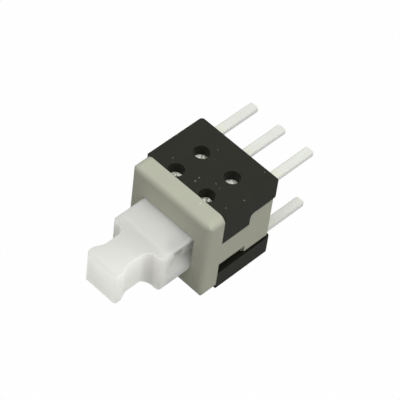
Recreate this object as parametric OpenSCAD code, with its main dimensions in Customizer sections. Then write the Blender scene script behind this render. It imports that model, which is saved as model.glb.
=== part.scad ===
// Self-locking push switch with two rows of three flat pins, in millimetres.
// It lies as it rests on a table: the plunger points to -Y, the pins to +Y, +Z is up.
// The origin is the middle of the rear face, which sits on the circuit board, so the
// body runs from y = -body_d to y = 0. The lower cover is the upper one turned half a
// turn about the Y axis, and so are its terminals and its moving contact.

/* [Body] */
// Width of the body, X
body_w = 7.0; // [6.9:0.1:7.8]
// Height of the body as it lies, Z
body_h = 7.0; // [7.0:0.1:7.8]
// Depth of the body from the collar's front to the board, Y
body_d = 6.2; // [6.2:0.1:7.0]
// Thickness of the square collar
collar_t = 1.35; // [1.3:0.05:1.4]
// Corner radius of the collar seen from the front
collar_corner_r = 0.5; // [0.5:0.05:0.7]
// Rounding of the collar's front edge
collar_edge_r = 0.42; // [0.1:0.02:0.5]
// How far the side walls lie inside the collar's side
wall_inset = 0.08; // [0.04:0.02:0.12]
// Gap seen between a side wall and the cover's rim
seam_gap = 0.24; // [0.1:0.02:0.3]
// Thickness of the rear wall
rear_t = 0.75; // [0.7:0.05:0.85]
// Thickness of the frame's inner lip
lip_t = 0.3; // [0.2:0.02:0.34]
// Corner radius of the frame behind
wall_corner_r = 0.4; // [0.3:0.05:0.8]

/* [Covers] */
// Height of a cover's plain rim
rim_h = 1.5; // [1.4:0.05:1.6]
// Thickness of a cover's rim and latch leg
rim_t = 0.33; // [0.3:0.01:0.36]
// Rounding of a cover's rear corners
cover_corner_r = 0.25; // [0.15:0.05:0.5]
// Diameter of the core holes
core_hole_d = 1.1; // [0.9:0.05:1.2]
// Distance between the core holes across the body
core_hole_x = 2.74; // [2.6:0.02:2.9]
// First pair of core holes, from the collar's front
core_hole_y1 = 1.8; // [1.75:0.01:1.85]
// Second pair of core holes, from the collar's front
core_hole_y2 = 4.06; // [3.9:0.02:4.1]
// Length of the long latch leg behind the collar
leg_l = 2.45; // [2.2:0.05:2.6]
// How far the latch leg reaches below the rim
leg_drop = 1.0; // [0.8:0.05:1.1]
// Fillet between latch leg and rim
leg_fillet = 0.4; // [0.2:0.05:0.5]
// How far the lug on the other side reaches below the rim
lug_drop = 0.78; // [0.6:0.02:0.9]

/* [Plunger] */
// How far the plunger stands out of the collar
plunger_out = 5.8; // [5.6:0.1:6.4]
// Full travel of the plunger
travel = 2.2; // [2.0:0.1:2.2]
// Travel at which the plunger stays locked
lock_travel = 1.5; // [1.4:0.05:1.55]
// Width of the block that slides in the collar
block_w = 4.5; // [4.3:0.05:4.5]
// Height of that block
block_h = 3.1; // [2.85:0.05:3.2]
// How far the block stands out of the collar
block_out = 2.7; // [2.5:0.05:3.0]
// How far the block lies below the middle of the body
block_drop = 0.12; // [0.05:0.01:0.3]
// Width of the neck
neck_w = 2.1; // [2.0:0.1:2.4]
// Width of the head that takes a cap
head_w = 2.7; // [2.6:0.1:3.2]
// Height of neck and head
head_h = 2.75; // [2.4:0.05:2.8]
// Length of the head's full width
head_l = 0.65; // [0.5:0.05:0.9]
// Length of the taper from head to neck
shoulder_l = 0.66; // [0.3:0.02:0.8]
// Length of the slope under the neck
slope_l = 0.55; // [0.4:0.05:0.7]
// Width of the stem in the body
stem_w = 3.0; // [2.8:0.1:3.2]
// Height of the stem
stem_h = 2.5; // [2.4:0.05:2.6]
// Length of the stem behind the block
stem_l = 1.35; // [1.25:0.05:1.4]

/* [Terminals] */
// Distance between pins in a row
pin_pitch = 2.5; // [2.4:0.02:2.54]
// Distance between the two rows
row_pitch = 5.0; // [5.0:0.02:5.08]
// Width of a pin
pin_w = 0.7; // [0.6:0.05:0.75]
// Thickness of the terminal sheet
pin_t = 0.3; // [0.25:0.01:0.32]
// Length of the pins behind the body
pin_l = 4.0; // [3.0:0.1:5.0]

/* [Lock and springs] */
// Diameter of the lock pin's wire
wire_d = 0.34; // [0.28:0.02:0.36]
// Length of the lock pin between its bends
pin_arm = 3.7; // [3.6:0.05:3.8]
// Wire diameter of the return spring
spring_wire = 0.2; // [0.16:0.01:0.22]
// Outer diameter of the return spring
spring_d = 1.7; // [1.5:0.05:1.75]
// Turns of the return spring
spring_turns = 9; // [7:1:10]
// Sliding clearance between plunger and collar, all round
slide_gap = 0.05; // [0.04:0.01:0.08]

/* [Hidden] */
$fn = 48;

// Room between pieces that snap or lie together, and round a latch barb
fit_gap = 0.02;
barb_gap = 0.05;
// How far a form reaches into the next to fuse with it, and how far a cut runs past
root = 0.1;
cut = 0.2;

// Body: front and rear of the collar, half sizes, walls
front_y = -body_d;
collar_y = front_y + collar_t;
half_w = body_w / 2;
half_h = body_h / 2;
wall_x = half_w - wall_inset;
lip_x = half_w - rim_t - fit_gap;
cavity_x = lip_x - lip_t;
rear_in = -rear_t;
rear_lip_t = rear_t - rim_t - fit_gap;
rim_z = half_h - rim_h;
wall_z = rim_z - seam_gap;

// Terminal sheet: its inner face is the floor of the cover, where the clips rub
pad_z = row_pitch / 2 - pin_t / 2;
sheet_top = pad_z + pin_t;

// Latch leg with its barb, and the lug on the other side
leg_y = collar_y + leg_l;
leg_z = rim_z - leg_drop;
lug_z = rim_z - lug_drop;
barb_up = 0.08;
barb_z = leg_z + barb_up;
barb_h = 0.3;
barb_lead = 0.6;
barb_y = collar_y + barb_lead;
barb_l = 1.0;
barb_depth = 0.12;

// Plunger: block, stem, roundings, stops behind the collar
block_back = 0.25;
block_z0 = -block_drop - block_h / 2;
block_z1 = -block_drop + block_h / 2;
block_y0 = front_y - block_out;
block_y1 = collar_y + block_back;
block_r = 0.2;
block_front_r = 0.35;
block_edge_r = 0.2;
edge_lead = 0.05;
tip_y = front_y - plunger_out;
head_z0 = block_z1 - head_h;
head_corner_r = 0.36;
head_edge_r = 0.34;
neck_fillet = 0.62;
slope_in = 0.12;
stem_z = stem_h / 2;
stem_y1 = block_y1 + stem_l;
stem_root = 0.5;
stop_gap = 0.05;
ear_gap = 0.15;
ear_root = 1.0;
ear_l = 0.75;
ear_h = 1.8;
rail_gap = 0.3;
rail_l = 0.5;
rail_t = 0.24;
rail_low = 0.26;

// Bore for the return spring, and the spigot that holds the spring's rear end
bore_gap = 0.1;
bore_front = 0.2;
bore_d = spring_d + 2 * bore_gap;
bore_y0 = front_y - bore_front;
spring_len = rear_in - bore_y0;
spring_r = (spring_d - spring_wire) / 2;
spigot_gap = 0.07;
spigot_l = 0.6;

// Lock pin and its leaf, placed from the inside of the side wall
wire_r = wire_d / 2;
wire_bend_r = 0.3;
leaf_t = 0.06;
leaf_gap = 0.01;
leaf_front_l = 1.2;
leaf_front_h = 1.7;
leaf_tail_h = 0.9;
leaf_slot_h = 0.6;
leaf_end = 0.3;
leaf_x = cavity_x - leaf_gap - leaf_t;
arm_x = leaf_x - fit_gap - wire_r;
arm_clear = 0.16;
arm_gap = 0.1;
swing_gap = 0.14;
pivot_wall = 0.2;

// Lock track under the block's top: the pin's tip stands in the upper lane and swings to
// the lower one
plate_t = 0.15;
track_gap = 0.08;
lane = 0.55;
lane_room = 0.16;
track_top = block_z1 - plate_t;
track_half = lane + wire_r + track_gap;
track_z = track_top - lane_room - track_half;
swing_reach = lane + wire_r + swing_gap;
swing = asin(lane / pin_arm);
tip_lead = 0.95;
tip_mid_y = front_y + tip_lead;
pivot_y = tip_mid_y + pin_arm;
tip_end_y = pivot_y - pin_arm * cos(swing);
heart_sink = 0.31;
heart_h = 0.6;
heart_x = arm_x - wire_r - arm_clear - heart_sink;
track_floor = heart_x - heart_h;
pin_bite = 0.38;
pin_in_x = heart_x - pin_bite;
track_y1 = tip_end_y + wire_r + track_gap;
turn_gap = 0.05;
turn_y = tip_mid_y - travel - wire_r - turn_gap;
turn_up = 0.5;
turn_top = 0.2;
turn_low = 0.22;
turn_out = 0.7;
turn_foot = 0.58;
ramp_h = 0.75;
ramp_in = 0.7;
ramp_foot = 0.25;
heart_gap = 0.05;
heart_half = lane - wire_r - heart_gap;
heart_y1 = tip_mid_y - wire_r - track_gap;
heart_notch = tip_mid_y + wire_r - lock_travel;
heart_lobe = 0.22;
heart_y0 = heart_notch - heart_lobe;

// Moving contact: base on the stem, two fingers, pegs that hold it
clip_t = 0.1;
clip_gap = 0.02;
clip_edge = 0.1;
clip_end = 0.05;
crest_r = 0.25;
finger_w = 0.45;
open_finger_x = 0.3;
common_finger_x = -0.6;
closed_lead = 0.65;
closed_y = collar_y + closed_lead;
common_lead = 1.45;
common_y = collar_y + common_lead;
peg_d = 0.4;
peg_h = 0.3;
peg_gap = 0.015;
peg_edge = 0.35;
peg_x = stem_w / 2 - peg_edge;
peg_y = stem_y1 - peg_edge;

// Terminal sheets, seen from above: outer edge, closed bar, side run, common strip,
// open pad, and the feet that lead to the pins (near and far edge from the rear)
sheet_x = 2.2;
sheet_lead = 0.1;
bar_w = 0.85;
run_w = 1.3;
run_end = 1.0;
strip_x = -0.7;
strip_w = 0.7;
strip_lead = 1.2;
pad_x = 0.2;
pad_lead = 1.7;
pad_end = 1.55;
left_foot = [0.8, 1.5];
centre_foot = [0.6, 1.3];
right_foot = [0.9, 1.9];
right_foot_x = 1.0;
pin_nip = 0.1;

// A block between two corners
module block(a, b) {
    translate(a) cube([b[0] - a[0], b[1] - a[1], b[2] - a[2]]);
}

// Extrudes an X-Z outline along Y
module along_y(y0, y1) {
    translate([0, y1, 0]) rotate([90, 0, 0]) linear_extrude(y1 - y0) children();
}

// Extrudes a Y-Z outline along X
module along_x(x0, x1) {
    translate([x0, 0, 0]) rotate([90, 0, 90]) linear_extrude(x1 - x0) children();
}

// Extrudes an X-Y outline along Z
module along_z(z0, z1) {
    translate([0, 0, z0]) linear_extrude(z1 - z0) children();
}

// Rectangle between two corners with the same radius at every corner
module soft_rect(a, b, r) {
    translate([a[0] + r, a[1]]) square([b[0] - a[0] - 2 * r, b[1] - a[1]]);
    translate([a[0], a[1] + r]) square([b[0] - a[0], b[1] - a[1] - 2 * r]);
    for (x = [a[0] + r, b[0] - r], y = [a[1] + r, b[1] - r]) translate([x, y]) circle(r);
}

// Half a turn about the plunger's axis, which makes the second pole from the first
module second_pole() {
    rotate([0, 180, 0]) children();
}

// Half view of the collar from above or from the side: its front corners are rolled
module rolled_outline(half) {
    r = collar_edge_r;
    translate([front_y + r, -half]) square([collar_t - r, 2 * half]);
    translate([front_y, r - half]) square([collar_t, 2 * (half - r)]);
    for (s = [-1, 1]) translate([front_y + r, s * (half - r)]) circle(r);
}

// Square collar with round corners and a rolled front edge
module collar() {
    intersection() {
        along_y(front_y, collar_y)
            soft_rect([-half_w, -half_h], [half_w, half_h], collar_corner_r);
        along_x(-body_w, body_w) rolled_outline(half_h);
        along_z(-body_h, body_h) mirror([1, -1, 0]) rolled_outline(half_w);
    }
}

// Outline of the frame behind the collar, seen from above
module frame_outline() {
    difference() {
        union() {
            translate([-wall_x, collar_y - root]) square([2 * wall_x, root - collar_y - wall_corner_r]);
            translate([wall_corner_r - wall_x, -2 * rear_t]) square([2 * (wall_x - wall_corner_r), 2 * rear_t]);
            for (s = [-1, 1]) translate([s * (wall_x - wall_corner_r), -wall_corner_r]) circle(wall_corner_r);
        }
        translate([-cavity_x, collar_y]) square([2 * cavity_x, rear_in - collar_y]);
    }
}

// Inner lip of the frame, which closes the case against the covers' floors
module frame_lip() {
    difference() {
        block([-lip_x, collar_y - root, -pad_z], [lip_x, rear_in + rear_lip_t, pad_z]);
        block([-cavity_x, collar_y - cut, -half_h], [cavity_x, rear_in, half_h]);
    }
}

// Room in the right wall for the upper cover's leg and the lower cover's lug
module leg_rooms() {
    along_x(lip_x, half_w) leg_side(fit_gap);
    block([lip_x - barb_depth - barb_gap / 2, barb_y - barb_gap, barb_z - barb_gap],
        [half_w, barb_y + barb_l + barb_gap, barb_z + barb_h + barb_gap]);
    block([cavity_x - cut, collar_y, -half_h], [half_w, leg_y, fit_gap - lug_z]);
}

// Rear end of the leaf, behind the slot for the lock pin's pivot
function leaf_y1() = pivot_y + wire_r + 2 * fit_gap + leaf_end;

// Room inside the collar and the right wall for the lock pin's swing, its pivot in the
// wall, and for bend and leaf where a short body brings them near the rear wall
module lock_rooms() {
    block([block_w / 2 - cut, tip_mid_y - wire_r - arm_gap, track_z - swing_reach],
        [arm_x + wire_r + arm_gap, collar_y + cut, track_z + swing_reach]);
    translate([arm_x, pivot_y, track_z]) rotate([0, 90, 0])
        cylinder(h = wall_x - pivot_wall + root - arm_x, d = wire_d + 2 * fit_gap);
    block([arm_x - wire_r - fit_gap, pivot_y - wire_bend_r, track_z - leaf_tail_h / 2 - fit_gap],
        [cavity_x - leaf_gap / 2, leaf_y1() + fit_gap, track_z + leaf_tail_h / 2 + fit_gap]);
}

module housing() {
    color([0.61, 0.61, 0.54]) difference() {
        union() {
            collar();
            along_z(-wall_z, wall_z) frame_outline();
            frame_lip();
            translate([0, rear_in + root, 0]) rotate([90, 0, 0])
                cylinder(h = spigot_l + root, d = spring_d - 2 * spring_wire - 2 * spigot_gap);
        }
        along_y(front_y - cut, collar_y + root)
            soft_rect([-block_w / 2 - slide_gap, block_z0 - slide_gap],
                [block_w / 2 + slide_gap, block_z1 + slide_gap], block_r);
        leg_rooms();
        second_pole() leg_rooms();
        lock_rooms();
    }
}

// Plan of the plunger's nose: head, tapered shoulders, neck with fillets, block
module nose_plan() {
    hw = head_w / 2;
    nw = neck_w / 2;
    bw = block_w / 2;
    r = head_corner_r;
    f = neck_fillet;
    shoulder = tip_y + head_l;
    neck = shoulder + shoulder_l;
    difference() {
        union() {
            translate([-hw, tip_y + r]) square([2 * hw, head_l - r]);
            translate([r - hw, tip_y]) square([2 * (hw - r), r + root]);
            for (s = [-1, 1]) translate([s * (hw - r), tip_y + r]) circle(r);
            polygon([[-hw, shoulder], [hw, shoulder], [nw, neck], [-nw, neck]]);
            translate([-nw, shoulder]) square([2 * nw, block_y0 - shoulder + root]);
            translate([-nw - f, block_y0 - f]) square([2 * (nw + f), f + root]);
            soft_rect([-bw, block_y0], [bw, block_y1], block_front_r);
            translate([-bw, block_y1 - 2 * block_front_r]) square([2 * bw, 2 * block_front_r]);
        }
        for (s = [-1, 1]) translate([s * (nw + f), block_y0 - f]) circle(f);
    }
}

// Side view of the nose: the block is deeper than neck and head, with a slope between
module nose_side() {
    r = head_edge_r;
    e = block_edge_r;
    soft_rect([tip_y, head_z0], [block_y0 + 4 * r, head_z0 + head_h], r);
    soft_rect([block_y0 - edge_lead, block_z0], [block_y1, block_z1], e);
    translate([block_y1 - 2 * e, block_z0]) square([2 * e, block_h]);
    polygon([[block_y0 - slope_l, head_z0], [block_y0 + slope_in, block_z0],
        [block_y0 + slope_l, block_z0], [block_y0 + slope_l, head_z0 + r], [block_y0 - slope_l, head_z0 + r]]);
}

// Outline of the lock track in the block's right side; the front wall carries a nose
// that turns the returning pin, and slants away below it
module track_outline() {
    polygon([[track_y1, track_z - track_half], [track_y1, track_top],
        [turn_y - turn_top, track_top], [turn_y, track_z + turn_up],
        [turn_y - turn_out, track_z - turn_low], [turn_y - turn_foot, track_z - track_half]]);
}

// Ramp that leads from the lower lane's floor down to the block's side
module track_ramp() {
    z1 = track_z - track_half;
    intersection() {
        along_x(track_floor, half_w)
            polygon([[track_y1, z1 - ramp_h], [track_y1, z1 + root], [turn_y - turn_foot, z1 + root],
                [turn_y - turn_foot, z1], [turn_y - ramp_foot, z1 - ramp_h]]);
        along_y(tip_y, track_y1 + root)
            polygon([[block_w / 2 - ramp_in, z1 + root], [block_w / 2 - ramp_in, z1],
                [block_w / 2, z1 - ramp_h], [half_w, z1 - ramp_h], [half_w, z1 + root]]);
    }
}

// Heart-shaped island: point to the rear, notch with two lobes to the front
module heart_outline() {
    h = heart_half;
    polygon([[heart_y1, track_z + 0.2 * h], [heart_y1 - 0.85 * h, track_z + h],
        [heart_y0 + 0.3 * h, track_z + h], [heart_y0, track_z + 0.75 * h],
        [heart_y0 + 0.06 * h, track_z + 0.66 * h], [heart_notch, track_z + 0.3 * h],
        [heart_notch, track_z - 0.3 * h], [heart_y0 + 0.18 * h, track_z - 0.68 * h],
        [heart_y0 + 0.18 * h, track_z - 0.78 * h], [heart_y0 + 0.4 * h, track_z - h],
        [heart_y1 - 0.85 * h, track_z - h]]);
}

// Stops behind the collar: an ear on the left, two rails beside the lock pin's room
module stops() {
    y0 = collar_y + stop_gap;
    block([ear_gap - cavity_x, y0, -block_drop - ear_h / 2],
        [ear_root - block_w / 2, y0 + ear_l, ear_h / 2 - block_drop]);
    for (z = [block_z0 + rail_low, track_z + swing_reach]) block([stem_w / 2 - clip_edge / 2, y0, z],
        [cavity_x - rail_gap, y0 + rail_l, z + rail_t]);
}

module plunger() {
    color([0.92, 0.92, 0.9]) difference() {
        union() {
            intersection() {
                along_z(block_z0, block_z1) nose_plan();
                along_x(-block_w, block_w) nose_side();
                along_y(tip_y, block_y1)
                    soft_rect([-block_w / 2, block_z0], [block_w / 2, block_z1], block_r);
            }
            block([-stem_w / 2, block_y1 - stem_root, -stem_z], [stem_w / 2, stem_y1, stem_z]);
            stops();
            for (s = [-1, 1], t = [-1, 1]) translate([s * peg_x, peg_y, t * (stem_z - root)])
                rotate([t > 0 ? 0 : 180, 0, 0]) cylinder(h = peg_h + root, d = peg_d);
        }
        translate([0, stem_y1 + root, 0]) rotate([90, 0, 0])
            cylinder(h = stem_y1 + root - bore_y0, d = bore_d);
        difference() {
            along_x(track_floor, half_w) track_outline();
            along_x(track_floor - root, heart_x) heart_outline();
        }
        track_ramp();
        block([arm_x - wire_r - arm_clear, turn_y, track_z - swing_reach],
            [half_w, stem_y1 + cut, track_z + swing_reach]);
    }
}

// Outline of a cover's plate with its rear corners rounded, seen from above
module cover_outline() {
    r = cover_corner_r;
    translate([-half_w, collar_y]) square([body_w, -collar_y - r]);
    translate([r - half_w, -2 * r]) square([body_w - 2 * r, 2 * r]);
    for (s = [-1, 1]) translate([s * (half_w - r), -r]) circle(r);
}

// Inside of the rim, seen from above
module rim_inside() {
    translate([rim_t - half_w, collar_y - cut]) square([body_w - 2 * rim_t, cut - collar_y - rim_t]);
}

// The latch leg, seen from the side, with a fillet up to the rim and g of room round it
module leg_side(g) {
    f = leg_fillet;
    difference() {
        translate([collar_y, leg_z - g]) square([leg_l + f, pad_z - leg_z + g]);
        translate([leg_y + f, rim_z - f]) circle(f - g);
        translate([leg_y + g, leg_z - f]) square([2 * f, rim_z - leg_z]);
    }
}

module cover() {
    difference() {
        union() {
            along_z(pad_z, half_h) cover_outline();
            along_z(rim_z, pad_z + root) difference() {
                cover_outline();
                rim_inside();
            }
            intersection() {
                along_x(half_w - rim_t, half_w) leg_side(0);
                along_z(-half_h, half_h) cover_outline();
            }
            block([lip_x - barb_depth, barb_y, barb_z],
                [half_w - rim_t + root, barb_y + barb_l, barb_z + barb_h]);
            block([-lip_x, collar_y, lug_z], [-cavity_x, leg_y - fit_gap, pad_z + root]);
        }
        terminal_left();
        terminal_centre();
        terminal_right();
        for (x = [-1, 1], y = [core_hole_y1, core_hole_y2])
            translate([x * core_hole_x / 2, front_y + y, sheet_top - fit_gap])
                cylinder(h = half_h, d = core_hole_d);
    }
}

module upper_cover() {
    color([0.15, 0.15, 0.14]) cover();
}

module lower_cover() {
    color([0.15, 0.15, 0.14]) second_pole() cover();
}

// Free end of a pin, with its corners nipped
module pin_outline(x, y0) {
    c = pin_nip;
    w = pin_w / 2;
    polygon([[x - w, y0], [x + w, y0], [x + w, pin_l - c], [x + w - c, pin_l],
        [x - w + c, pin_l], [x - w, pin_l - c]]);
}

// A rectangle of sheet between two corners
module sheet(a, b) {
    translate(a) square([b[0] - a[0], b[1] - a[1]]);
}

// Normally closed contact: bar across the front, run along the left side
module terminal_left() {
    y0 = collar_y + sheet_lead;
    along_z(pad_z, sheet_top) {
        sheet([-sheet_x, y0], [sheet_x, y0 + bar_w]);
        sheet([-sheet_x, y0], [run_w - sheet_x, -run_end]);
        sheet([-pin_pitch - pin_w / 2, -left_foot[1]], [run_w - sheet_x, -left_foot[0]]);
        pin_outline(-pin_pitch, -left_foot[1]);
    }
}

// Common contact: a strip beside the middle, joined to the middle pin
module terminal_centre() {
    along_z(pad_z, sheet_top) {
        sheet([strip_x, collar_y + strip_lead], [strip_x + strip_w, -centre_foot[0]]);
        sheet([strip_x, -centre_foot[1]], [pin_w / 2, -centre_foot[0]]);
        pin_outline(0, -centre_foot[1]);
    }
}

// Normally open contact: a pad behind the closed one, joined to the right pin
module terminal_right() {
    along_z(pad_z, sheet_top) {
        sheet([pad_x, collar_y + pad_lead], [sheet_x, -pad_end]);
        sheet([right_foot_x, -right_foot[1]], [pin_pitch + pin_w / 2, -right_foot[0]]);
        pin_outline(pin_pitch, -right_foot[1]);
    }
}

module terminal_upper_left() {
    color([0.85, 0.85, 0.84]) terminal_left();
}

module terminal_upper_centre() {
    color([0.85, 0.85, 0.84]) terminal_centre();
}

module terminal_upper_right() {
    color([0.85, 0.85, 0.84]) terminal_right();
}

module terminal_lower_left() {
    color([0.85, 0.85, 0.84]) second_pole() terminal_right();
}

module terminal_lower_centre() {
    color([0.85, 0.85, 0.84]) second_pole() terminal_centre();
}

module terminal_lower_right() {
    color([0.85, 0.85, 0.84]) second_pole() terminal_left();
}

// Side view of one finger of the clip: foot on the base, slope, round crest, tail.
// dir is 1 when the crest lies behind the foot and -1 when it lies before it.
module finger_side(foot, crest, dir) {
    z0 = stem_z;
    z1 = pad_z - clip_gap;
    r = crest_r;
    t = clip_t;
    polygon([[foot, z0], [foot + dir * 1.5 * t, z0], [crest - dir * t, z1 - 1.2 * t],
        [crest - dir * t, z1 - 0.2 * t], [crest - dir * 2 * t, z1 - 0.8 * t],
        [foot + dir * 0.5 * t, z0 + t], [foot, z0 + t]]);
    intersection() {
        difference() {
            translate([crest, z1 - r]) circle(r);
            translate([crest, z1 - r]) circle(r - t);
        }
        translate([crest - r, z1 - r * 0.75]) square([2 * r, r]);
    }
}

module clip() {
    y0 = block_y1 + clip_end;
    y1 = stem_y1 - clip_end;
    difference() {
        along_z(stem_z, stem_z + clip_t) sheet([clip_edge - stem_w / 2, y0], [stem_w / 2 - clip_edge, y1]);
        for (s = [-1, 1]) translate([s * peg_x, peg_y, stem_z - root])
            cylinder(h = clip_t + 2 * root, d = peg_d + 2 * peg_gap);
    }
    along_x(open_finger_x, open_finger_x + finger_w) finger_side(y1, closed_y, -1);
    along_x(common_finger_x, common_finger_x + finger_w) finger_side(y0, common_y, 1);
}

module upper_clip() {
    color([0.8, 0.78, 0.72]) clip();
}

module lower_clip() {
    color([0.8, 0.78, 0.72]) second_pole() clip();
}

// Height of the coil's centre line after t turns: the end turns are closed
function lift(t) = let (n = spring_turns, shut = spring_wire * 1.15,
    open = (spring_len - spring_wire - 2 * fit_gap - 2 * shut) / (n - 2))
    t < 1 ? shut * t : t < n - 1 ? shut + open * (t - 1) : shut + open * (n - 2) + shut * (t - n + 1);

// Coil: rings of points swept along the turns
module return_spring() {
    side = 6;
    steps = 12;
    last = spring_turns * steps;
    points = [for (i = [0:last], k = [0:side - 1])
        let (a = i * 360 / steps, b = k * 360 / side, r = spring_r + spring_wire / 2 * cos(b))
        [r * cos(a), lift(i / steps) + spring_wire / 2 * sin(b), r * sin(a)]];
    walls = [for (i = [0:last - 1], k = [0:side - 1])
        let (m = (k + 1) % side, p = i * side)
        each [[p + k, p + side + k, p + side + m], [p + k, p + side + m, p + m]]];
    ends = [[for (k = [0:side - 1]) k], [for (k = [0:side - 1]) last * side + side - 1 - k]];
    color([0.75, 0.76, 0.78]) translate([0, bore_y0 + spring_wire / 2 + fit_gap, 0])
        polyhedron(points, concat(walls, ends));
}

// Quarter bend of the lock pin's wire
module wire_bend(turn) {
    rotate([0, 0, turn]) rotate_extrude(angle = 90) translate([wire_bend_r, 0]) circle(d = wire_d, $fn = 24);
}

// Straight run of the lock pin's wire along X or along Y
module wire_x(x0, x1) {
    translate([x0, 0, 0]) rotate([0, 90, 0]) cylinder(h = x1 - x0, d = wire_d, $fn = 24);
}

module wire_y(y0, y1) {
    translate([0, y1, 0]) rotate([90, 0, 0]) cylinder(h = y1 - y0, d = wire_d, $fn = 24);
}

// Bent wire: a tip in the track, an arm beside the plunger, a pivot in the wall
module lock_pin() {
    b = wire_bend_r;
    color([0.72, 0.73, 0.75]) translate([0, pivot_y, track_z]) rotate([-swing, 0, 0]) {
        translate([0, -pin_arm, 0]) wire_x(pin_in_x, arm_x - b);
        translate([arm_x - b, b - pin_arm, 0]) wire_bend(-90);
        translate([arm_x, 0, 0]) wire_y(b - pin_arm, -b);
        translate([arm_x + b, -b, 0]) wire_bend(90);
        wire_x(arm_x + b, wall_x - pivot_wall);
    }
}

// Thin leaf between the lock pin and the wall: its wide end lies over the arm's front
// half, and the pin's pivot passes through a slot in its tail
module pin_spring() {
    y0 = collar_y + sheet_lead;
    color([0.78, 0.78, 0.78]) along_x(leaf_x, leaf_x + leaf_t) difference() {
        union() {
            sheet([y0, track_z - leaf_front_h / 2], [y0 + leaf_front_l, track_z + leaf_front_h / 2]);
            sheet([y0, track_z - leaf_tail_h / 2], [leaf_y1(), track_z + leaf_tail_h / 2]);
        }
        sheet([pivot_y - wire_bend_r - wire_r, track_z - leaf_slot_h / 2],
            [leaf_y1() - leaf_end, track_z + leaf_slot_h / 2]);
    }
}

housing();
plunger();
upper_cover();
lower_cover();
terminal_upper_left();
terminal_upper_centre();
terminal_upper_right();
terminal_lower_left();
terminal_lower_centre();
terminal_lower_right();
upper_clip();
lower_clip();
return_spring();
lock_pin();
pin_spring();
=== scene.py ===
"""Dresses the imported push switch: soft-edged mouldings, stamped pins, springs, camera, studio."""
import math

import bmesh
import bpy
from mathutils import Matrix, Vector


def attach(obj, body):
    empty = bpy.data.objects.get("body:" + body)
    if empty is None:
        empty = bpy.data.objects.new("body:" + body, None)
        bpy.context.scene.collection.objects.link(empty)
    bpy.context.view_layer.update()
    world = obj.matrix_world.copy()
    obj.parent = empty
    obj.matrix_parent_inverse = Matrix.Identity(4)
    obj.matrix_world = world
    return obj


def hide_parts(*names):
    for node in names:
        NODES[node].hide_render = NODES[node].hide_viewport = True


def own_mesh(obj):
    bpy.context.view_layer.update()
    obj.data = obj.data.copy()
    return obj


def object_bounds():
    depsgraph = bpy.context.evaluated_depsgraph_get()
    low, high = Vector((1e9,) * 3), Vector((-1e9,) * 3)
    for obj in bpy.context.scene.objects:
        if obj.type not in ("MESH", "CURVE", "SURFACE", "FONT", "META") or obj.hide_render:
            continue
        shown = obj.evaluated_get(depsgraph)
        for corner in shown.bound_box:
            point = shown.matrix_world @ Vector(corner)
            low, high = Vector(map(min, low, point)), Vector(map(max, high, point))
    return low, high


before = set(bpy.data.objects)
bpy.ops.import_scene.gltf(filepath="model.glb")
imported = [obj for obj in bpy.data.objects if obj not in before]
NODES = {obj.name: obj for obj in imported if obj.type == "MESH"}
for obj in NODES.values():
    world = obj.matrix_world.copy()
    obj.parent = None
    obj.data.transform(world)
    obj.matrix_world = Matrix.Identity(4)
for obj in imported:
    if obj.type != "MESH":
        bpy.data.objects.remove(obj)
cad_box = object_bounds()

# Sizes and places in mm, the outer ones read from the frame, the others as in the part's source
MM = 0.001
BODY_HALF = round(cad_box[1][0] / MM, 3)
TIP_Y = round(cad_box[0][1] / MM, 3)
COLLAR_FRONT_Y = -6.2
COLLAR_ROUND = 0.42
REAR_IN_Y = -0.75

BLOCK_FRONT_Y = COLLAR_FRONT_Y - 2.7
BLOCK_HALF = 2.25
BLOCK_TOP, BLOCK_BOTTOM = 1.43, -1.67
BLOCK_FRONT_ROUND, BLOCK_EDGE_ROUND = 0.35, 0.2
HEAD_HALF = 1.35
HEAD_BOTTOM = BLOCK_TOP - 2.75
HEAD_CORNER_ROUND, HEAD_EDGE_ROUND = 0.36, 0.34

PIN_PITCH = 2.5
PIN_HALF = 0.35
SHEET_TOP = 2.65
HOLE_X = 1.37
FRONT_HOLE_Y, REAR_HOLE_Y = -4.40, -2.14

# Softened edges of the frame, the covers, the plunger and the stamped sheet
FRAME_EDGE, COVER_EDGE, PLUNGER_EDGE, SHEET_EDGE = 0.05, 0.09, 0.08, 0.015


# Camera

def place_camera():
    """The photograph's view: turn, height and roll in degrees, aim point and distance in mm."""
    azimuth, elevation, roll = (math.radians(angle) for angle in (39.342, 49.663, 7.928))
    aim = Vector((0.665, -4.141, 2.196)) * MM
    distance = 135.660 * MM
    back = Vector((math.sin(azimuth) * math.cos(elevation), -math.cos(azimuth) * math.cos(elevation),
                   math.sin(elevation)))
    right = Vector((math.cos(azimuth), math.sin(azimuth), 0))
    up = back.cross(right)
    x_axis = math.cos(roll) * right + math.sin(roll) * up
    y_axis = -math.sin(roll) * right + math.cos(roll) * up
    data = bpy.data.cameras.new("photo_camera")
    data.sensor_width = 36
    data.lens = 194.32
    data.clip_start = 0.001
    data.clip_end = 10
    camera = bpy.data.objects.new("photo_camera", data)
    bpy.context.scene.collection.objects.link(camera)
    turn = Matrix((x_axis, y_axis, back)).transposed().to_4x4()
    camera.matrix_world = Matrix.Translation(aim + back * distance) @ turn
    bpy.context.scene.camera = camera


place_camera()


# Node helpers

def srgb(r, g, b):
    """Linear colour from 0-255 screen values."""
    def lin(c):
        c /= 255
        return c / 12.92 if c <= 0.04045 else ((c + 0.055) / 1.055) ** 2.4
    return (lin(r), lin(g), lin(b), 1.0)


def set_inputs(node, values):
    """Sets a node's unlinked sockets by name."""
    for name, value in values.items():
        node.inputs[name].default_value = value


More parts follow.
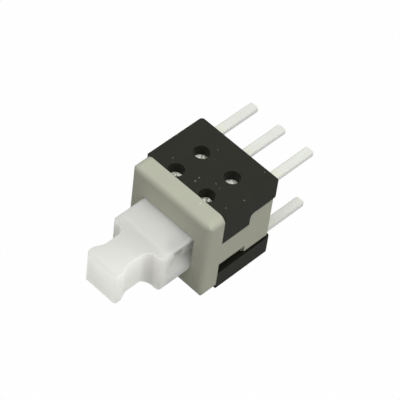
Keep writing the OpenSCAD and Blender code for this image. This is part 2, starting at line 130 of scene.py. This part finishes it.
class Wiring:
    """Adds nodes to a tree and joins them. An input may be a number, a colour or a socket."""

    def __init__(self, tree):
        self.tree = tree

    def node(self, kind, label="", **values):
        made = self.tree.nodes.new(kind)
        made.label = label
        set_inputs(made, values)
        return made

    def link(self, source, target):
        self.tree.links.new(source, target)

    def feed(self, socket, value):
        if isinstance(value, (int, float, tuple)):
            socket.default_value = value
        else:
            self.link(value, socket)

    def math(self, operation, a, b=None, clamp=False):
        made = self.tree.nodes.new("ShaderNodeMath")
        made.operation = operation
        made.use_clamp = clamp
        self.feed(made.inputs[0], a)
        if b is not None:
            self.feed(made.inputs[1], b)
        return made.outputs[0]

    def ramp(self, value, low, high, to_low=0.0, to_high=1.0):
        made = self.tree.nodes.new("ShaderNodeMapRange")
        made.interpolation_type = "SMOOTHSTEP"
        set_inputs(made, {"From Min": low, "From Max": high, "To Min": to_low, "To Max": to_high})
        self.link(value, made.inputs["Value"])
        return made.outputs["Result"]

    def mix(self, factor, a, b):
        """A mix of two colours. Sockets 0, 6 and 7 are the factor and the colours."""
        made = self.tree.nodes.new("ShaderNodeMix")
        made.data_type = "RGBA"
        for place, value in ((0, factor), (6, a), (7, b)):
            self.feed(made.inputs[place], value)
        return made.outputs[2]

    def mix_shaders(self, factor, a, b):
        made = self.tree.nodes.new("ShaderNodeMixShader")
        for place, source in enumerate((factor, a, b)):
            self.link(source, made.inputs[place])
        return made.outputs[0]


def shader_group(name, inputs, outputs):
    """An empty shader node group with named sockets, and its wiring and end nodes."""
    tree = bpy.data.node_groups.new(name, "ShaderNodeTree")
    tree.interface.new_socket("Vector", in_out="INPUT", socket_type="NodeSocketVector")
    for label, value in inputs:
        socket = tree.interface.new_socket(label, in_out="INPUT", socket_type="NodeSocketFloat")
        socket.default_value = value
    for label in outputs:
        tree.interface.new_socket(label, in_out="OUTPUT", socket_type="NodeSocketFloat")
    return tree, Wiring(tree), tree.nodes.new("NodeGroupInput"), tree.nodes.new("NodeGroupOutput")


def moulded_skin_group():
    """Skin of a moulded part: flow clouds, fine spark-eroded grain and roughness, in mm."""
    tree, w, start, end = shader_group(
        "moulded_skin",
        (("Grain Scale", 14.0), ("Cloud Scale", 0.6), ("Cloud Strength", 0.1), ("Roughness", 0.45),
         ("Roughness Spread", 0.1)),
        ("Height", "Cloud", "Roughness"))
    grain = w.node("ShaderNodeTexNoise", "grain", Detail=3.0)
    w.link(start.outputs["Vector"], grain.inputs["Vector"])
    w.link(start.outputs["Grain Scale"], grain.inputs["Scale"])
    cloud = w.node("ShaderNodeTexNoise", "flow", Detail=4.0, Distortion=0.6)
    w.link(start.outputs["Vector"], cloud.inputs["Vector"])
    w.link(start.outputs["Cloud Scale"], cloud.inputs["Scale"])
    w.link(grain.outputs["Fac"], end.inputs["Height"])
    centred = w.math("SUBTRACT", cloud.outputs["Fac"], 0.5)
    w.link(w.math("MULTIPLY", centred, start.outputs["Cloud Strength"]), end.inputs["Cloud"])
    uneven = w.math("SUBTRACT", grain.outputs["Fac"], 0.5)
    spread = w.math("MULTIPLY", uneven, start.outputs["Roughness Spread"])
    w.link(w.math("ADD", start.outputs["Roughness"], spread, clamp=True), end.inputs["Roughness"])
    return tree


def specks_group():
    """Mask of small scattered specks of dust, one in some of the cells, each of its own size."""
    ragged_depth, least_size = 0.08, 0.35
    tree, w, start, end = shader_group(
        "dust_specks", (("Cells per mm", 1.6), ("Size", 0.05), ("Share", 0.3)), ("Mask",))
    warp = w.node("ShaderNodeTexNoise", "ragged outline", Scale=22.0)
    w.link(start.outputs["Vector"], warp.inputs["Vector"])
    cells = w.node("ShaderNodeTexVoronoi", "cells")
    w.link(start.outputs["Vector"], cells.inputs["Vector"])
    w.link(start.outputs["Cells per mm"], cells.inputs["Scale"])
    shift = w.math("MULTIPLY", w.math("SUBTRACT", warp.outputs["Fac"], 0.5), ragged_depth)
    ragged = w.math("ADD", cells.outputs["Distance"], shift)
    split = w.node("ShaderNodeSeparateColor")
    w.link(cells.outputs["Color"], split.inputs["Color"])
    chosen = w.math("LESS_THAN", split.outputs[0], start.outputs["Share"])
    size = w.math("MULTIPLY", start.outputs["Size"], w.math("ADD", split.outputs[1], least_size))
    spot = w.math("LESS_THAN", ragged, size)
    w.link(w.math("MULTIPLY", spot, chosen), end.inputs["Mask"])
    return tree


SKIN = moulded_skin_group()
SPECKS = specks_group()


def new_material(name):
    """A Principled material, with Object coordinates in mm."""
    material = bpy.data.materials.new(name)
    material.use_nodes = True
    tree = material.node_tree
    tree.nodes.clear()
    w = Wiring(tree)
    shader = w.node("ShaderNodeBsdfPrincipled")
    out = w.node("ShaderNodeOutputMaterial")
    w.link(shader.outputs["BSDF"], out.inputs["Surface"])
    coords = w.node("ShaderNodeTexCoord")
    mapping = w.node("ShaderNodeMapping", "metres to mm", Scale=(1000, 1000, 1000))
    w.link(coords.outputs["Object"], mapping.inputs["Vector"])
    return material, w, shader, mapping.outputs["Vector"]


def placed_group(w, tree, vector, values):
    made = w.node("ShaderNodeGroup")
    made.node_tree = tree
    w.link(vector, made.inputs["Vector"])
    set_inputs(made, values)
    return made


def bump(w, height, strength, distance_mm):
    made = w.node("ShaderNodeBump", Strength=strength, Distance=distance_mm * MM)
    w.link(height, made.inputs["Height"])
    return made.outputs["Normal"]


def skinned(w, shader, vector, skin_values, strength, depth):
    """Gives a material the moulded skin's roughness and bump, and returns its tone from 0 to 1."""
    skin = placed_group(w, SKIN, vector, skin_values)
    w.link(skin.outputs["Roughness"], shader.inputs["Roughness"])
    w.link(bump(w, skin.outputs["Height"], strength, depth), shader.inputs["Normal"])
    return w.math("ADD", skin.outputs["Cloud"], 0.5, clamp=True)


# Materials

def dusty_moulding(name, dark, light, skin_values, speck_values, speck_colour):
    """An opaque moulded plastic: two close tones, spark-eroded grain and scattered dust."""
    material, w, shader, vector = new_material(name)
    tone = skinned(w, shader, vector, {**skin_values, "Roughness Spread": 0.18}, 0.35, 0.006)
    spots = placed_group(w, SPECKS, vector, speck_values)
    colour = w.mix(spots.outputs["Mask"], w.mix(tone, dark, light), speck_colour)
    w.link(colour, shader.inputs["Base Color"])
    return material, shader


def grey_moulding():
    material, shader = dusty_moulding(
        "grey_frame_moulding", srgb(172, 171, 160), srgb(188, 191, 167),
        {"Grain Scale": 9.0, "Cloud Strength": 0.5, "Roughness": 0.5},
        {"Cells per mm": 1.4, "Size": 0.09, "Share": 0.3}, srgb(205, 205, 192))
    set_inputs(shader, {"IOR": 1.46, "Specular IOR Level": 0.35})
    return material


def black_moulding():
    material, shader = dusty_moulding(
        "black_cover_moulding", srgb(17, 15, 14), srgb(28, 30, 20),
        {"Grain Scale": 11.0, "Cloud Strength": 0.8, "Roughness": 0.46},
        {"Cells per mm": 2.2, "Size": 0.12, "Share": 0.4}, srgb(98, 98, 90))
    set_inputs(shader, {"Specular IOR Level": 0.22, "Specular Tint": (1.0, 1.0, 0.88, 1.0)})
    return material


def white_moulding():
    """Natural white plastic. Light spreads under its skin and shines through, most in the thin head. Its
    base colour is painted lighter on the head and darker on the block, as painted light and painted shade.
    """
    head_end, block_start = BLOCK_FRONT_Y + 0.1, BLOCK_FRONT_Y + 0.9
    head_through, block_through = 0.81, 0.3
    material, w, shader, vector = new_material("natural_white_moulding")
    tone = skinned(w, shader, vector,
                   {"Grain Scale": 7.0, "Cloud Scale": 0.5, "Cloud Strength": 0.6, "Roughness": 0.42,
                    "Roughness Spread": 0.12}, 0.3, 0.006)
    split = w.node("ShaderNodeSeparateXYZ")
    w.link(vector, split.inputs["Vector"])
    along = split.outputs["Y"]
    # Painted light and shade: the head's base colour is painted lighter for the light through it, and the
    # block's darker for the shade near the collar.
    head = w.mix(tone, srgb(236, 235, 233), srgb(240, 241, 236))
    block = w.mix(tone, srgb(222, 221, 219), srgb(229, 230, 225))
    w.link(w.mix(w.ramp(along, head_end, block_start), head, block), shader.inputs["Base Color"])
    set_inputs(shader, {"Subsurface Weight": 1.0, "Subsurface Radius": (1.0, 1.0, 0.94),
                        "Subsurface Scale": 1.2 * MM, "Specular IOR Level": 0.35})
    inner = w.node("ShaderNodeBsdfTranslucent", "light through the moulding", Color=srgb(244, 244, 241))
    share = w.ramp(along, head_end, block_start, head_through, block_through)
    mixed = w.mix_shaders(share, shader.outputs["BSDF"], inner.outputs["BSDF"])
    w.link(mixed, w.tree.nodes["Material Output"].inputs["Surface"])
    return material


def terminal_sheet():
    """Tinned sheet: rolling marks along Y, a yellow tint at the pins' root, a painted highlight on the
    pins' sides with a darker line inside it, and painted shade with painted streaky highlights on the
    plates inside the case."""
    side_start, side_end = PIN_HALF - 0.012, PIN_HALF - 0.004
    edge_line_start, edge_line_end = PIN_HALF - 0.07, PIN_HALF - 0.04
    tint_y, clean_y = -0.2, 1.6
    painted_shade_y, no_painted_shade_y = -1.0, -0.3
    material, w, shader, vector = new_material("tinned_terminal_sheet")
    squeeze = w.node("ShaderNodeMapping", "long in Y", Scale=(5, 0.5, 5))
    w.link(vector, squeeze.inputs["Vector"])
    noise = w.node("ShaderNodeTexNoise", "rolling marks along the sheet", Scale=1.0, Detail=1.0)
    w.link(squeeze.outputs["Vector"], noise.inputs["Vector"])
    marks = noise.outputs["Fac"]
    split = w.node("ShaderNodeSeparateXYZ")
    w.link(vector, split.inputs["Vector"])

    rolled = w.mix(w.ramp(marks, 0.35, 0.65), srgb(221, 223, 215), srgb(225, 227, 219))
    root_tint = w.ramp(split.outputs["Y"], tint_y, clean_y, 0.5, 0.0)
    colour = w.mix(root_tint, rolled, srgb(230, 230, 184))
    from_middle = w.math("PINGPONG", split.outputs["X"], PIN_PITCH / 2)
    # Painted highlight: the pins' side faces are painted near white for the light they catch.
    side_painted_highlight = w.ramp(from_middle, side_start, side_end)
    # A darker line on the pins' top faces, just inside each side.
    darker_edge_line = w.math("SUBTRACT", w.ramp(from_middle, edge_line_start, edge_line_end), side_painted_highlight)
    colour = w.mix(w.math("MULTIPLY", darker_edge_line, 0.5, clamp=True), colour, srgb(176, 178, 166))
    colour = w.mix(side_painted_highlight, colour, srgb(250, 250, 247))

    # Painted shade and painted highlights: the plates inside the case, seen down the cover's holes, are
    # painted a dark tone with bright streaks for the shade and glints in the holes.
    shade_and_glint_blots = w.node("ShaderNodeTexNoise", "painted shade and glints inside the case", Scale=6.0, Detail=3.0)
    w.link(vector, shade_and_glint_blots.inputs["Vector"])
    painted_hole_shade_and_glints = w.mix(w.ramp(shade_and_glint_blots.outputs["Fac"], 0.38, 0.58), srgb(132, 134, 120), srgb(238, 241, 228))
    inside = w.ramp(split.outputs["Y"], painted_shade_y, no_painted_shade_y, 1.0, 0.0)
    w.link(w.mix(inside, colour, painted_hole_shade_and_glints), shader.inputs["Base Color"])
    shader.inputs["Metallic"].default_value = 0.2
    w.link(w.ramp(marks, 0.2, 0.8, 0.44, 0.52), shader.inputs["Roughness"])
    w.link(bump(w, marks, 0.04, 0.002), shader.inputs["Normal"])
    return material


def bare_metal(name, dark, light, roughness):
    material, w, shader, vector = new_material(name)
    tone = skinned(w, shader, vector,
                   {"Grain Scale": 16.0, "Cloud Strength": 1.0, "Roughness": roughness,
                    "Roughness Spread": 0.14}, 0.2, 0.003)
    w.link(w.mix(tone, dark, light), shader.inputs["Base Color"])
    shader.inputs["Metallic"].default_value = 1.0
    return material


GREY = grey_moulding()
BLACK = black_moulding()
WHITE = white_moulding()
TINNED = terminal_sheet()
CONTACT = bare_metal("sprung_contact_sheet", srgb(196, 186, 160), srgb(216, 208, 186), 0.3)
WIRE = bare_metal("spring_steel_wire", srgb(150, 152, 156), srgb(184, 186, 190), 0.26)


# Pieces made from the solids

def plain_mesh(maker, name):
    """The evaluated mesh of an object with modifiers, as a new plain object at the origin."""
    graph = bpy.context.evaluated_depsgraph_get()
    mesh = bpy.data.meshes.new_from_object(maker.evaluated_get(graph), depsgraph=graph)
    mesh.name = name
    old = maker.data
    bpy.data.objects.remove(maker)
    if old.users == 0:
        bpy.data.meshes.remove(old)
    made = bpy.data.objects.new(name, mesh)
    bpy.context.scene.collection.objects.link(made)
    return made


def object_of(form, name):
    """A new object from a bmesh, which it frees."""
    mesh = bpy.data.meshes.new(name)
    form.to_mesh(mesh)
    form.free()
    made = bpy.data.objects.new(name, mesh)
    bpy.context.scene.collection.objects.link(made)
    return made


def ball_cutter(centre, radius):
    """A fine ball in mm, to press a dimple with."""
    form = bmesh.new()
    bmesh.ops.create_uvsphere(form, u_segments=96, v_segments=64, radius=radius)
    bmesh.ops.translate(form, verts=form.verts, vec=centre)
    return object_of(form, "dimple_ball")


def joined_form(node, cuts):
    """A CAD node in mm: its flat faces joined up, then cut across at each (axis, place)."""
    form = bmesh.new()
    form.from_mesh(NODES[node].data)
    bmesh.ops.scale(form, verts=form.verts, vec=(1000, 1000, 1000))
    bmesh.ops.remove_doubles(form, verts=form.verts, dist=2e-4)
    bmesh.ops.dissolve_limit(form, angle_limit=math.radians(0.6), verts=form.verts, edges=form.edges)
    for axis, place in cuts:
        across = Vector((0.0, 0.0, 0.0))
        across[axis] = 1.0
        bmesh.ops.bisect_plane(form, geom=form.verts[:] + form.edges[:] + form.faces[:], dist=1e-4,
                               plane_co=across * place, plane_no=across)
    return form


def softened(node, name, width, segments=3, dimples=(), cuts=()):
    """A copy of a CAD node with dimples pressed in and its sharp edges rounded.

    The cuts lie near the ends of long rounded edges. They keep the shading of the corners from
    running down the whole edge.
    """
    maker = object_of(joined_form(node, cuts), name + "_form")
    maker.data.shade_smooth()
    balls = [ball_cutter(centre, radius) for centre, radius in dimples]
    for ball in balls:
        press = maker.modifiers.new("dimple", "BOOLEAN")
        press.operation = "DIFFERENCE"
        press.object = ball
    bevel = maker.modifiers.new("rounded_edges", "BEVEL")
    bevel.width = width
    bevel.segments = segments
    bevel.limit_method = "ANGLE"
    bevel.angle_limit = math.radians(50)
    bevel.use_clamp_overlap = True
    bevel.miter_outer = "MITER_ARC"
    even = maker.modifiers.new("flat_faces_stay_flat", "WEIGHTED_NORMAL")
    even.mode = "FACE_AREA"
    even.weight = 100
    bpy.context.view_layer.update()
    made = plain_mesh(maker, name)
    for ball in balls:
        bpy.data.objects.remove(ball)
    made.data.transform(Matrix.Scale(MM, 4))
    return made


def give_material(mesh, material):
    mesh.materials.clear()
    mesh.materials.append(material)


def dress(piece, node, body, material):
    """Puts a piece on the body it rides on, gives it its finish and hides the CAD node it stands for."""
    give_material(piece.data, material)
    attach(piece, body)
    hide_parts(node)


def rounding_ends():
    """Cuts of the frame and the plunger, a little way in from where their roundings end."""
    inset = 0.01
    side = BODY_HALF - COLLAR_ROUND - inset
    collar = [(axis, sign * side) for axis in (0, 2) for sign in (-1, 1)]
    collar.append((1, COLLAR_FRONT_Y + COLLAR_ROUND + inset))
    block_side = BLOCK_HALF - BLOCK_FRONT_ROUND - inset
    head_side = HEAD_HALF - HEAD_CORNER_ROUND - inset
    plunger = [(0, -block_side), (0, block_side), (0, -head_side), (0, head_side),
               (1, TIP_Y + HEAD_CORNER_ROUND), (1, BLOCK_FRONT_Y + BLOCK_FRONT_ROUND + inset),
               (2, BLOCK_TOP - BLOCK_EDGE_ROUND - inset), (2, BLOCK_TOP - HEAD_EDGE_ROUND - inset),
               (2, HEAD_BOTTOM + HEAD_EDGE_ROUND + inset),
               (2, BLOCK_BOTTOM + BLOCK_EDGE_ROUND + inset)]
    return collar, plunger


def make_mouldings():
    collar_cuts, plunger_cuts = rounding_ends()
    for node, name, edge, cuts, body, material, slot in (
            ("housing", "frame_moulding", FRAME_EDGE, collar_cuts, "case", GREY, "grey_moulding"),
            ("upper_cover", "upper_cover_moulding", COVER_EDGE, (), "case", BLACK, "black_moulding"),
            ("lower_cover", "lower_cover_moulding", COVER_EDGE, (), "case", BLACK, "black_moulding"),
            ("plunger", "plunger_moulding", PLUNGER_EDGE, plunger_cuts, "slider", WHITE,
             "white_moulding")):
        dress(softened(node, name, edge, cuts=cuts), node, body, material)


def make_terminals():
    """Stamped terminals. The mould's core pins press a shallow dimple into them under each hole."""
    radius, depth = 1.3, 0.11
    closed_holes = ((-HOLE_X, FRONT_HOLE_Y), (HOLE_X, FRONT_HOLE_Y), (-HOLE_X, REAR_HOLE_Y))
    open_holes = ((HOLE_X, REAR_HOLE_Y),)
    holes = {"upper_left": closed_holes, "upper_right": open_holes,
             "lower_right": [(-x, y) for x, y in closed_holes],
             "lower_left": [(-x, y) for x, y in open_holes]}
    for row, side in (("upper", 1), ("lower", -1)):
        height = (SHEET_TOP + radius - depth) * side
        for place in ("left", "centre", "right"):
            dimples = [((x, y, height), radius) for x, y in holes.get(f"{row}_{place}", ())]
            pin = softened(f"terminal_{row}_{place}", f"{row}_{place}_pin", SHEET_EDGE, 2, dimples)
            dress(pin, f"terminal_{row}_{place}", "case", TINNED)


make_mouldings()
make_terminals()


# Return spring

def coil_tree():
    """Geometry nodes: a compression spring with closed end turns, along Y."""
    tree = bpy.data.node_groups.new("coil_of_wire", "GeometryNodeTree")
    for label, kind in (("Turns", "Float"), ("Steps per Turn", "Int"), ("Coil Radius", "Float"),
                        ("Wire Radius", "Float"), ("Closed Pitch", "Float"), ("Open Pitch", "Float"),
                        ("Start", "Float"), ("Wire", "Material")):
        tree.interface.new_socket(label, in_out="INPUT", socket_type="NodeSocket" + kind)
    tree.interface.new_socket("Geometry", in_out="OUTPUT", socket_type="NodeSocketGeometry")
    w = Wiring(tree)
    given, end = tree.nodes.new("NodeGroupInput").outputs, tree.nodes.new("NodeGroupOutput")
    count = w.math("ADD", w.math("MULTIPLY", given["Turns"], given["Steps per Turn"]), 1)
    line = w.node("GeometryNodeCurvePrimitiveLine")
    points = w.node("GeometryNodeResampleCurve")
    w.link(line.outputs["Curve"], points.inputs["Curve"])
    w.link(count, points.inputs["Count"])

    turn = w.math("DIVIDE", w.node("GeometryNodeInputIndex").outputs[0], given["Steps per Turn"])
    angle = w.math("MULTIPLY", turn, 2 * math.pi)
    first = w.math("MINIMUM", turn, 1.0)
    last_start = w.math("SUBTRACT", given["Turns"], 1.0)
    last = w.math("MAXIMUM", w.math("SUBTRACT", turn, last_start), 0.0)
    middle = w.math("SUBTRACT", w.math("SUBTRACT", turn, first), last)
    closed_rise = w.math("MULTIPLY", w.math("ADD", first, last), given["Closed Pitch"])
    open_rise = w.math("MULTIPLY", middle, given["Open Pitch"])
    place = w.node("ShaderNodeCombineXYZ")
    w.link(w.math("MULTIPLY", w.math("COSINE", angle), given["Coil Radius"]), place.inputs["X"])
    w.link(w.math("ADD", given["Start"], w.math("ADD", closed_rise, open_rise)), place.inputs["Y"])
    w.link(w.math("MULTIPLY", w.math("SINE", angle), given["Coil Radius"]), place.inputs["Z"])
    moved = w.node("GeometryNodeSetPosition")
    w.link(points.outputs["Curve"], moved.inputs["Geometry"])
    w.link(place.outputs["Vector"], moved.inputs["Position"])

    ring = w.node("GeometryNodeCurvePrimitiveCircle", Resolution=12)
    w.link(given["Wire Radius"], ring.inputs["Radius"])
    swept = w.node("GeometryNodeCurveToMesh")
    swept.inputs["Fill Caps"].default_value = True
    w.link(moved.outputs["Geometry"], swept.inputs["Curve"])
    w.link(ring.outputs["Curve"], swept.inputs["Profile Curve"])
    real = w.node("GeometryNodeRealizeInstances")
    w.link(swept.outputs["Mesh"], real.inputs["Geometry"])
    finish = w.node("GeometryNodeSetMaterial")
    w.link(real.outputs["Geometry"], finish.inputs["Geometry"])
    w.link(given["Wire"], finish.inputs["Material"])
    w.link(finish.outputs["Geometry"], end.inputs["Geometry"])
    return tree


def make_return_spring():
    """The coil in the plunger's bore, made at one length from the bore's front to the rear wall."""
    wire_r, coil_r, turns, closed_pitch, end_gap = 0.1, 0.75, 9, 0.23, 0.02
    bore_front_y = COLLAR_FRONT_Y - 0.2
    length = REAR_IN_Y - bore_front_y
    open_pitch = (length - 2 * wire_r - 2 * end_gap - 2 * closed_pitch) / (turns - 2)
    maker = bpy.data.objects.new("coil_maker", bpy.data.meshes.new("coil_maker"))
    bpy.context.scene.collection.objects.link(maker)
    modifier = maker.modifiers.new("coil", "NODES")
    modifier.node_group = coil_tree()
    values = {"Turns": float(turns), "Steps per Turn": 32, "Coil Radius": coil_r * MM,
              "Wire Radius": wire_r * MM, "Closed Pitch": closed_pitch * MM,
              "Open Pitch": open_pitch * MM, "Start": (bore_front_y + wire_r + end_gap) * MM,
              "Wire": WIRE}
    for socket in modifier.node_group.interface.items_tree:
        if socket.in_out == "INPUT":
            modifier[socket.identifier] = values[socket.name]
    bpy.context.view_layer.update()
    spring = plain_mesh(maker, "return_spring_coil")
    form = bmesh.new()
    form.from_mesh(spring.data)
    bmesh.ops.recalc_face_normals(form, faces=form.faces)
    form.to_mesh(spring.data)
    form.free()
    spring.data.shade_smooth()
    dress(spring, "return_spring", "case", WIRE)
    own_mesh(spring)


make_return_spring()


# CAD nodes whose shape is right keep it and get their material
for kept_node, metal in (("upper_clip", CONTACT), ("lower_clip", CONTACT), ("pin_spring", CONTACT),
                         ("lock_pin", WIRE)):
    give_material(NODES[kept_node].data, metal)


# Studio

def seen_by_lookers(w, plain, white, glossy_share, white_share):
    """Mixes a plain shader to a white one for camera, transmission and glossy rays."""
    path = w.node("ShaderNodeLightPath")
    seen = w.math("MAXIMUM", path.outputs["Is Camera Ray"], path.outputs["Is Transmission Ray"])
    glossy = w.math("MULTIPLY", path.outputs["Is Glossy Ray"], glossy_share)
    seen = w.math("MULTIPLY", w.math("MAXIMUM", seen, glossy), white_share)
    return w.mix_shaders(seen, plain.outputs[0], white.outputs[0])


def make_dome():
    world = bpy.data.worlds.new("studio_dome")
    bpy.context.scene.world = world
    world.use_nodes = True
    world.node_tree.nodes.clear()
    w = Wiring(world.node_tree)
    dome = w.node("ShaderNodeBackground", "light on the object", Color=(0.98, 0.99, 1.0, 1), Strength=0.42)
    white = w.node("ShaderNodeBackground", "what is seen", Color=(1, 1, 1, 1))
    out = w.node("ShaderNodeOutputWorld")
    w.link(seen_by_lookers(w, dome, white, glossy_share=1.0, white_share=1.0), out.inputs["Surface"])


def make_floor():
    """Paper under the switch: white to the camera, a plain grey to the light that falls on it."""
    form = bmesh.new()
    bmesh.ops.create_grid(form, x_segments=1, y_segments=1, size=0.6)
    floor = object_of(form, "studio_floor")
    floor.data.transform(Matrix.Translation((0, 0, -BODY_HALF * MM)))
    material = bpy.data.materials.new("pale_paper")
    material.use_nodes = True
    material.node_tree.nodes.clear()
    w = Wiring(material.node_tree)
    paper = w.node("ShaderNodeBsdfDiffuse", Color=srgb(136, 136, 135))
    glow = w.node("ShaderNodeEmission")
    out = w.node("ShaderNodeOutputMaterial")
    w.link(seen_by_lookers(w, paper, glow, glossy_share=0.25, white_share=0.99), out.inputs["Surface"])
    floor.data.materials.append(material)


def make_lamps():
    """Square panels aimed at the origin: name, place and side in metres, power in watts."""
    for name, where, size, power in (("overhead_panel", (0.02, -0.05, 0.26), 0.26, 0.392),
                                     ("right_panel", (0.22, 0.03, 0.16), 0.16, 0.235),
                                     ("front_panel", (-0.12, -0.22, 0.2), 0.16, 0.015)):
        data = bpy.data.lights.new(name, "AREA")
        data.shape = "SQUARE"
        data.size = size
        data.energy = power
        lamp = bpy.data.objects.new(name, data)
        bpy.context.scene.collection.objects.link(lamp)
        lamp.location = where
        lamp.rotation_euler = (-Vector(where)).to_track_quat("-Z", "Y").to_euler()


bpy.context.scene.view_settings.view_transform = "Standard"
make_dome()
make_floor()
make_lamps()
